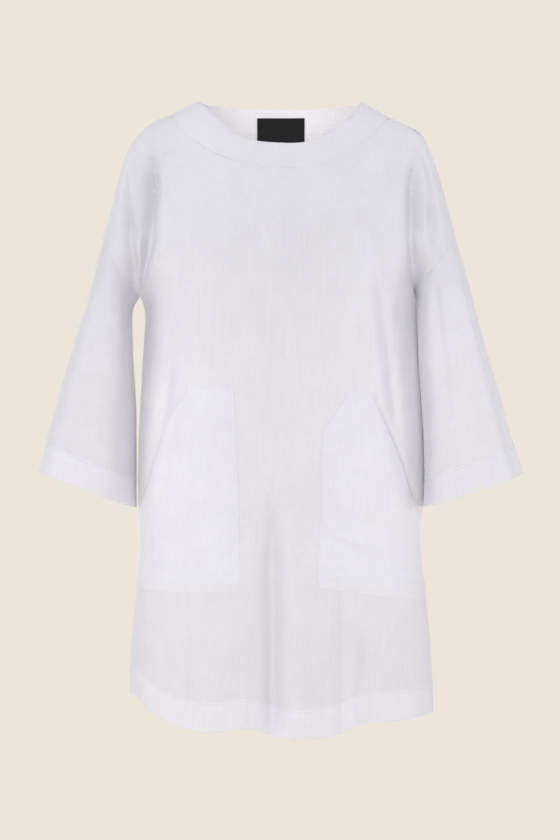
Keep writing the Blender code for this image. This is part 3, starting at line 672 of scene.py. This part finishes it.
def sleeve_grid(sleeve, folds, seed):
    """Outside points, directions and thickness of one sleeve, rows from the cuff to the armhole."""
    count = 2 * ARMHOLE_STEPS
    fine = np.repeat(np.linspace(1, 0, 181)[:, None], count, 1)
    run = run_along(sleeve_points(sleeve, folds, fine))
    rise = hem_rows(run[-1].min() - 6, SLEEVE_STEP)
    part = soft_step((rise / rise[-1] - 0.15) / 0.85)[:, None]
    want = rise[:, None] + (run[-1] - rise[-1]) * part
    step = np.stack([np.interp(want[:, j], run[:, j], fine[:, j]) for j in range(count)], 1)
    points = sleeve_points(sleeve, folds, step)
    away = grid_away(points, closed=True)
    away = away * np.sign(np.sum(away * (points - points.mean(1, keepdims=True))))
    around = np.cumsum(np.linalg.norm(np.roll(points, -1, 1) - points, axis=-1), 1)
    from_edge = np.repeat(rise[:, None], count, 1)
    move, thick = hem_shape(from_edge, around, seed)
    far = run[-1] - want
    move = move - 0.1 * np.exp(-((far / 2.2) ** 2))
    move = move + 0.15 * ripples(around, seed) * np.exp(-(((far - 4) / 6) ** 2))
    calm = soft_step(far / 30) * soft_step((from_edge - 20) / 30 + 0.4)
    move = move + slack(around, points[..., 2], seed) * calm
    return points + away * move[..., None], away, thick, int(np.argmin(np.abs(rise - HEM_WIDE)))


def band_grid(side):
    """Outside points, directions and thickness of half the neckband, rows from its lower edge up."""
    low = line_points(BAND_FRONT if side == "front" else BAND_BACK, NECK_STEPS)
    neck = line_points(NECK_FRONT if side == "front" else NECK_BACK, NECK_STEPS)
    wide = np.linalg.norm(neck - low, axis=1)
    part = (1 - (1 - np.arange(BAND_STEPS + 1) / BAND_STEPS) ** 1.2)[:, None, None]
    place = (1 - part) * low + part * neck
    points = cloth_point(place[..., 0], place[..., 1], side)
    points[:, [0, -1], 1] = 0
    away = grid_away(points) * (1 if side == "front" else -1)
    up = part[..., 0] * wide
    down = wide - up
    fold = -HEM_CLOTH / 2 * (1 - rounding(down / 1.2))
    seam = -0.1 * np.exp(-((up / 2) ** 2)) + 0.1 * ripples(points[..., 0], 2) * np.exp(-(((up - 4) / 4) ** 2))
    thick = np.maximum(HEM_CLOTH + 2 * fold, 0.2)
    return points + away * (fold + seam)[..., None], away, thick


def pocket_grid(edges, low_edge, top_edge, opening, mirror):
    """Outside points, directions and thickness of one patch pocket, rows from bottom to top."""
    close = [0, 0.3, 0.8, 1.5, 2.2, 3.2, 5, 7.5, 10, 12]
    inner = np.array(close) / 150
    across = np.concatenate([(1 - np.cos(np.pi / 2 * np.arange(POCKET_COLUMNS) / POCKET_COLUMNS)) * (1 - inner[-1]), 1 - inner[::-1]])
    if mirror:
        across = 1 - across[::-1]
    tall = 272
    steps = close + list(np.linspace(14.5, tall - 12, POCKET_ROWS)) + [tall - k for k in close[::-1]]
    up = np.array(steps) / tall
    u, v = np.meshgrid(across, up)
    bottom = curve(low_edge, "z", u, "share")
    top = curve(top_edge, "z", u, "share")
    z = bottom + v * (top - bottom)
    left, right = curve(edges, "left", z), curve(edges, "right", z)
    x = left + u * (right - left)
    points = cloth_point(x, z, "front")
    away = grid_away(points)
    edge = line_points(opening, 40)
    far_opening = np.min(np.hypot(x[..., None] - edge[:, 0], z[..., None] - edge[:, 1]), -1)
    gape = POCKET_GAPE * np.exp(-((far_opening / POCKET_GAPE_REACH) ** 2))
    sewn_side = 1 - u if not mirror else u
    from_inner = sewn_side * (right - left)
    from_bottom, from_top = v * tall, (1 - v) * tall
    from_sewn = np.minimum(np.minimum(from_inner, from_bottom), from_top)
    lift = POCKET_CLEAR * soft_step(from_sewn / 14) + gape
    outer = np.minimum(from_sewn, far_opening)
    fold = -0.2 * (1 - rounding(outer / 0.9))
    stitched = -0.12 * np.exp(-(((from_sewn - 2.2) / 0.8) ** 2))
    turned = 0.5 * soft_step((18 - from_bottom) / 2.5 + 0.5)
    turned = turned + 0.5 * np.exp(-(((from_bottom - 19) / 2.2) ** 2))
    pucker = 0.2 * ripples(z + x, 3 + 2 * mirror) * np.exp(-(((from_sewn - 4) / 4) ** 2))
    soft_side = 1 - 0.5 * (1 - soft_step(np.minimum(from_inner / 16, from_top / 26)))
    thick = (POCKET_CLOTH + np.maximum(turned, 0)) * soft_side + fold
    move = lift + thick + stitched + pucker
    move = move + crease_height(x, z, POCKET_CREASES) * soft_step(outer / 8)
    to_left = np.linalg.norm(points - np.stack([curve(BODY, "left", z), 0 * z, z], -1), axis=-1)
    to_right = np.linalg.norm(points - np.stack([curve(BODY, "right", z), 0 * z, z], -1), axis=-1)
    move = move + slack(points[..., 0], points[..., 2], FRONT_SEED) * soft_step(np.minimum(to_left, to_right) / 40)
    return points + away * move[..., None], away, np.maximum(thick, 0.34)


def shell(name, points, away, thick, closed=False, hem_row=0, flip=False):
    """Thin closed cloth shell over a grid of outside points."""
    rows, columns = points.shape[:2]
    outside, inside = points.reshape(-1, 3), (points - away * thick[..., None]).reshape(-1, 3)
    count = len(outside)
    faces, doubled = [], []
    last = columns if closed else columns - 1
    for i in range(rows - 1):
        for j in range(last):
            a, b = i * columns + j, i * columns + (j + 1) % columns
            quad = (a, b, b + columns, a + columns)
            faces += [quad, tuple(count + k for k in reversed(quad))]
            doubled += [i < hem_row] * 2
    edge = [(j, (j + 1) % columns) for j in range(last)]
    top = (rows - 1) * columns
    rim = edge + [(top + b, top + a) for a, b in edge]
    if not closed:
        rim += [((i + 1) * columns, i * columns) for i in range(rows - 1)]
        rim += [(i * columns + last, (i + 1) * columns + last) for i in range(rows - 1)]
    for a, b in rim:
        faces.append((b, a, count + a, count + b))
        doubled.append(hem_row > 0)
    if flip:
        faces = [tuple(reversed(face)) for face in faces]
    mesh = bpy.data.meshes.new(name)
    mesh.from_pydata((np.concatenate([outside, inside]) * MM).tolist(), [], faces)
    mesh.polygons.foreach_set("use_smooth", [True] * len(faces))
    mesh.polygons.foreach_set("material_index", [int(k) for k in doubled])
    mesh.set_sharp_from_angle(angle=np.radians(60))
    piece = bpy.data.objects.new(name, mesh)
    bpy.context.scene.collection.objects.link(piece)
    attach(piece, "root")
    return piece


def stitches(name, lines):
    """Sewn rows: each stitch is a small spindle of thread lying on the cloth. Lines hold points and directions."""
    turn = 2 * np.pi * np.arange(5) / 5
    points, faces = [], []
    for line, out, closed in lines:
        if closed:
            line, out = np.concatenate([line, line[:1]]), np.concatenate([out, out[:1]])
        run = np.concatenate([[0], np.cumsum(np.linalg.norm(np.diff(line, axis=0), axis=1))])
        for start in np.arange(0.6, run[-1] - STITCH - 0.6, STITCH + STITCH_GAP):
            at = start + STITCH * np.array([0, 0.25, 0.75, 1])
            spots = np.stack([np.interp(at, run, line[:, k]) for k in range(3)], 1)
            up = unit(np.array([np.interp(start + STITCH / 2, run, out[:, k]) for k in range(3)]))
            along = unit(spots[-1] - spots[0])
            across = unit(np.cross(up, along))
            first = len(points)
            points.append(spots[0] - up * 0.1)
            for k in (1, 2):
                ring = np.cos(turn)[:, None] * across + np.sin(turn)[:, None] * up
                points += list(spots[k] + up * 0.12 + ring * THREAD)
            points.append(spots[3] - up * 0.1)
            for j in range(5):
                a, b = first + 1 + j, first + 1 + (j + 1) % 5
                faces += [(first, b, a), (a, b, b + 5, a + 5), (first + 11, a + 5, b + 5)]
    mesh = bpy.data.meshes.new(name)
    mesh.from_pydata((np.array(points) * MM).tolist(), [], faces)
    mesh.polygons.foreach_set("use_smooth", [True] * len(faces))
    piece = bpy.data.objects.new(name, mesh)
    bpy.context.scene.collection.objects.link(piece)
    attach(piece, "root")
    return piece


def linear(colour):
    """An sRGB hex colour as the linear values that a shader takes."""
    parts = [int(colour[k : k + 2], 16) / 255 for k in (1, 3, 5)]
    return tuple(c / 12.92 if c <= 0.04045 else ((c + 0.055) / 1.055) ** 2.4 for c in parts) + (1.0,)


def node(tree, kind, links=(), **settings):
    """A shader node with its settings, and its inputs set or linked by name or number."""
    made = tree.nodes.new(kind)
    for name, value in settings.items():
        setattr(made, name, value)
    for socket, value in dict(links).items():
        if isinstance(value, bpy.types.NodeSocket):
            tree.links.new(value, made.inputs[socket])
        else:
            made.inputs[socket].default_value = value
    return made


def linen(name, colour, through, lean=0.0):
    """Washed white linen: matt, with uneven slub threads both ways and a soft crumple.

    It gives the eye a dry cloth of fine crossing streaks, a little cloudy, with a faint fuzz at its edges.
    Threads are about 0.5 mm apart, too fine to show, so the slubs are drawn 1 to 3 mm wide.
    The share of light that passes through is larger for one layer than for doubled cloth.
    """
    material = bpy.data.materials.new(name)
    material.use_nodes = True
    tree = material.node_tree
    shader = tree.nodes["Principled BSDF"]
    place = node(tree, "ShaderNodeTexCoord").outputs["Object"]
    grain = node(tree, "ShaderNodeMapping", {"Vector": place, "Rotation": (0, lean, 0)}).outputs[0]
    streaks = []
    for stretch in ((520, 520, 14), (30, 30, 640), (1100, 1100, 40)):
        along = node(tree, "ShaderNodeMapping", {"Vector": grain, "Scale": stretch}).outputs[0]
        streak = node(tree, "ShaderNodeTexNoise", {"Vector": along, "Scale": 1.0, "Detail": 2.0}).outputs["Fac"]
        streaks.append(streak)
    weft = node(tree, "ShaderNodeMath", {0: streaks[1], 1: 0.45}, operation="MULTIPLY").outputs[0]
    warp_weft = node(tree, "ShaderNodeMath", {0: streaks[0], 1: weft}, operation="ADD").outputs[0]
    threads = node(tree, "ShaderNodeMath", {0: warp_weft, 1: streaks[2]}, operation="ADD").outputs[0]
    cloudy = node(tree, "ShaderNodeTexNoise", {"Vector": grain, "Scale": 26.0, "Detail": 3.0}).outputs["Fac"]
    tone = node(tree, "ShaderNodeMapRange", {
        "Value": threads, "From Min": 0.8, "From Max": 1.65, "To Min": 0.955, "To Max": 1.025,
    }).outputs[0]
    patch = node(tree, "ShaderNodeMapRange", {
        "Value": cloudy, "From Min": 0.3, "From Max": 0.7, "To Min": 0.98, "To Max": 1.014,
    }).outputs[0]
    both = node(tree, "ShaderNodeMath", {0: tone, 1: patch}, operation="MULTIPLY").outputs[0]
    shade = node(tree, "ShaderNodeVectorMath", {0: linear(colour)[:3], "Scale": both}, operation="SCALE").outputs[0]
    tree.links.new(shade, shader.inputs["Base Color"])
    crumple = node(tree, "ShaderNodeTexNoise", {"Vector": grain, "Scale": 55.0, "Detail": 4.0, "Roughness": 0.6})
    soft = node(tree, "ShaderNodeBump", {
        "Height": crumple.outputs["Fac"], "Strength": 1.0, "Distance": 0.0009,
    }).outputs[0]
    weave = node(tree, "ShaderNodeBump", {"Height": threads, "Normal": soft, "Strength": 1.0, "Distance": 0.00012})
    tree.links.new(weave.outputs[0], shader.inputs["Normal"])
    shader.inputs["Roughness"].default_value = 0.86
    shader.inputs["IOR"].default_value = 1.5
    shader.inputs["Specular IOR Level"].default_value = 0.25
    shader.inputs["Sheen Weight"].default_value = 0.6
    shader.inputs["Sheen Roughness"].default_value = 0.4
    shader.inputs["Subsurface Weight"].default_value = through
    shader.inputs["Subsurface Radius"].default_value = (1.0, 1.0, 1.0)
    shader.inputs["Subsurface Scale"].default_value = 0.002
    return material


def woven_label(name):
    """Black satin-woven label: close fine ribs with a low soft shine, bare of any lettering."""
    material = bpy.data.materials.new(name)
    material.use_nodes = True
    tree = material.node_tree
    shader = tree.nodes["Principled BSDF"]
    place = node(tree, "ShaderNodeTexCoord").outputs["Object"]
    along = node(tree, "ShaderNodeMapping", {"Vector": place, "Scale": (60, 60, 1400)}).outputs[0]
    ribs = node(tree, "ShaderNodeTexNoise", {"Vector": along, "Scale": 1.0, "Detail": 2.0}).outputs["Fac"]
    tone = node(tree, "ShaderNodeMapRange", {"Value": ribs, "To Min": 0.8, "To Max": 1.25}).outputs[0]
    shade = node(tree, "ShaderNodeVectorMath", {0: linear("#0A0C10")[:3], "Scale": tone}, operation="SCALE").outputs[0]
    tree.links.new(shade, shader.inputs["Base Color"])
    bump = node(tree, "ShaderNodeBump", {"Height": ribs, "Strength": 1.0, "Distance": 0.0001}).outputs[0]
    tree.links.new(bump, shader.inputs["Normal"])
    shader.inputs["Roughness"].default_value = 0.6
    shader.inputs["Specular IOR Level"].default_value = 0.2
    return material


def plain(name, colour, roughness):
    """One even matt finish."""
    material = bpy.data.materials.new(name)
    material.use_nodes = True
    shader = material.node_tree.nodes["Principled BSDF"]
    shader.inputs["Base Color"].default_value = linear(colour)
    shader.inputs["Roughness"].default_value = roughness
    return material


BODY_LINEN = linen("washed_slub_linen", "#E6E5E9", 0.4)
HEM_LINEN = linen("washed_slub_linen_turned_hem", "#EEEDF1", 0.2)
BAND_LINEN = linen("washed_slub_linen_neckband", "#EBEAEE", 0.1)
POCKET_LINEN = linen("washed_slub_linen_pocket", "#F0EFF3", 0.0)
# The left sleeve is the same linen as the right sleeve, painted a little darker than it and the body: painted shade,
# not a different cloth. Only its grain's lean differs for real.
LEFT_LINEN_PAINTED_SHADE = linen("washed_slub_linen_left_sleeve_painted_shade", "#E3E2E6", 0.4, 0.1)
RIGHT_LINEN = linen("washed_slub_linen_right_sleeve", "#E6E5E9", 0.4, -0.1)
LABEL_CLOTH = woven_label("black_satin_woven_label")
# Cotton sewing thread, matt and the colour of the cloth, so that rows of stitches hardly show
THREAD_WHITE = plain("white_cotton_sewing_thread", "#EFEEF2", 0.7)

sewn = []

for side in ("front", "back"):
    points, away, thick, hem_row = panel_grid(side)
    piece = shell(side + "_cloth", points, away, thick, hem_row=hem_row, flip=side == "back")
    for material in (BODY_LINEN, HEM_LINEN):
        piece.data.materials.append(material)
    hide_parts(side + "_panel")
    row = int(np.argmin(np.abs(hem_rows(BODY_HEM_TO_UNDERARM, SIDE_STEP) - STITCHED_AT)))
    sewn.append((points[row], away[row], False))

for name, sleeve, folds, seed, cloths in (
    ("left_sleeve", SLEEVE_LEFT, SLEEVE_FOLDS_LEFT, 2.0, (LEFT_LINEN_PAINTED_SHADE, HEM_LINEN)),
    ("right_sleeve", SLEEVE_RIGHT, SLEEVE_FOLDS_RIGHT, 5.0, (RIGHT_LINEN, HEM_LINEN)),
):
    points, away, thick, hem_row = sleeve_grid(sleeve, folds, seed)
    piece = shell(name + "_cloth", points, away, thick, closed=True, hem_row=hem_row)
    for material in cloths:
        piece.data.materials.append(material)
    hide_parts(name)
    row = int(np.argmin(np.abs(hem_rows(CUFF_TO_UNDERARM, SLEEVE_STEP) - STITCHED_AT)))
    sewn.append((points[row], away[row], True))

for side in ("front", "back"):
    points, away, thick = band_grid(side)
    piece = shell(side + "_neckband_cloth", points, away, thick, flip=side == "back")
    piece.data.materials.append(BAND_LINEN)
    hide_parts(side + "_neckband")

for name, lines, opening, mirror in (
    ("left_pocket", (POCKET_EDGES_LEFT, POCKET_LOW_LEFT, POCKET_TOP_LEFT), POCKET_OPENING_LEFT, False),
    ("right_pocket", (POCKET_EDGES_RIGHT, POCKET_LOW_RIGHT, POCKET_TOP_RIGHT), POCKET_OPENING_RIGHT, True),
):
    points, away, thick = pocket_grid(*lines, opening, mirror)
    piece = shell(name + "_cloth", points, away, thick)
    piece.data.materials.append(POCKET_LINEN)
    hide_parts(name)
    inner = 4 if mirror else -5
    sewn += [(points[4], away[4], False), (points[-5], away[-5], False), (points[:, inner], away[:, inner], False)]

x, z = np.meshgrid(
    np.linspace(LABEL_LEFT, LABEL_RIGHT, LABEL_COLUMNS + 1), np.linspace(LABEL_BOTTOM, LABEL_TOP, LABEL_ROWS + 1)
)
points = cloth_point(x, z, "back")
away = -grid_away(points)
points = points - away * (HEM_CLOTH + 0.3)
label = shell("neck_label_cloth", points, away, np.full(x.shape, 0.6), flip=True)
label.data.materials.append(LABEL_CLOTH)
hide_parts("neck_label")

thread = stitches("sewing_thread", sewn)
thread.data.materials.append(THREAD_WHITE)

# A pale floor well below the hem, outside the camera's view
bpy.ops.mesh.primitive_circle_add(vertices=96, radius=2.4, fill_type="NGON", location=(0, 0, -1.5))
floor = bpy.context.object
floor.name = "studio_floor"
floor.data.materials.append(plain("pale_matt_studio_floor", "#ECE6DA", 0.9))

world = bpy.data.worlds.new("pale_studio")
bpy.context.scene.world = world
world.use_nodes = True
sky = world.node_tree
sky.nodes.clear()
seen = node(sky, "ShaderNodeBackground", {"Color": linear("#ECE6DA"), "Strength": 1.0})
light = node(sky, "ShaderNodeBackground", {"Color": linear("#F9F9FF"), "Strength": 0.36})
path = node(sky, "ShaderNodeLightPath")
mixed = node(sky, "ShaderNodeMixShader", {0: path.outputs["Is Camera Ray"], 1: light.outputs[0], 2: seen.outputs[0]})
node(sky, "ShaderNodeOutputWorld", {"Surface": mixed.outputs[0]})


def softbox(name, place, aim, size, power):
    """Large soft studio light aimed at a point."""
    lamp = bpy.data.lights.new(name, "AREA")
    lamp.shape = "RECTANGLE"
    lamp.size, lamp.size_y = size
    lamp.energy = power
    lamp.color = linear("#FCFCFF")[:3]
    made_lamp = bpy.data.objects.new(name, lamp)
    bpy.context.scene.collection.objects.link(made_lamp)
    made_lamp.location = place
    made_lamp.rotation_euler = (Vector(aim) - Vector(place)).to_track_quat("-Z", "Y").to_euler()
    return made_lamp


softbox("left_softbox", (-3.0, -0.6, -0.5), (0, 0, -0.45), (1.8, 1.8), 24)
softbox("right_softbox", (3.0, -0.6, -0.5), (0, 0, -0.45), (1.8, 1.8), 25)
softbox("front_softbox", (-0.3, -4.4, -0.55), (0, 0, -0.45), (1.6, 1.6), 76)
softbox("top_softbox", (0, -0.5, 2.6), (0, 0, -0.1), (1.6, 1.6), 25)
softbox("back_softbox", (0.3, 4.4, -0.4), (0, 0, -0.45), (1.6, 1.6), 34)
softbox("left_armpit_strip", (-0.2, -0.2, -0.38), (-0.2, 0, -0.38), (0.03, 0.4), 0.012)
softbox("right_armpit_strip", (0.195, -0.2, -0.38), (0.195, 0, -0.38), (0.03, 0.4), 0.012)

# Light that comes through the thin linen and fills its hollow: place, radius and power
for x, y, z, radius, power in (
    (0.0, 0.02, -0.09, 0.04, 0.125),
    (-0.12, 0.0, -0.26, 0.05, 0.05),
    (0.12, 0.0, -0.26, 0.05, 0.06),
    (-0.12, 0.0, -0.42, 0.05, 0.18),
    (0.12, 0.0, -0.42, 0.05, 0.18),
    (-0.1, 0.0, -0.64, 0.06, 0.13),
    (0.1, 0.0, -0.64, 0.06, 0.13),
    (-0.232, 0.0, -0.33, 0.03, 0.06),
    (-0.25, 0.0, -0.46, 0.03, 0.06),
    (0.232, -0.02, -0.33, 0.03, 0.06),
    (0.25, -0.035, -0.46, 0.03, 0.06),
):
    glow = bpy.data.lights.new("light_in_hollow", "POINT")
    glow.shadow_soft_size = radius
    glow.energy = power
    glow.color = linear("#FFFCF4")[:3]
    lamp = bpy.data.objects.new("light_in_hollow", glow)
    bpy.context.scene.collection.objects.link(lamp)
    lamp.location = (x, y, z)
    lamp.visible_camera = False

lens = bpy.data.cameras.new("front_camera")
lens.sensor_width = 36.0
lens.lens = 36.0 * 3.6 / (840 * 0.0014)
camera = bpy.data.objects.new("front_camera", lens)
bpy.context.scene.collection.objects.link(camera)
camera.location = (0, -3.6, -0.431)
camera.rotation_euler = (np.pi / 2, 0, 0)
bpy.context.scene.camera = camera
bpy.context.scene.view_settings.view_transform = "Standard"
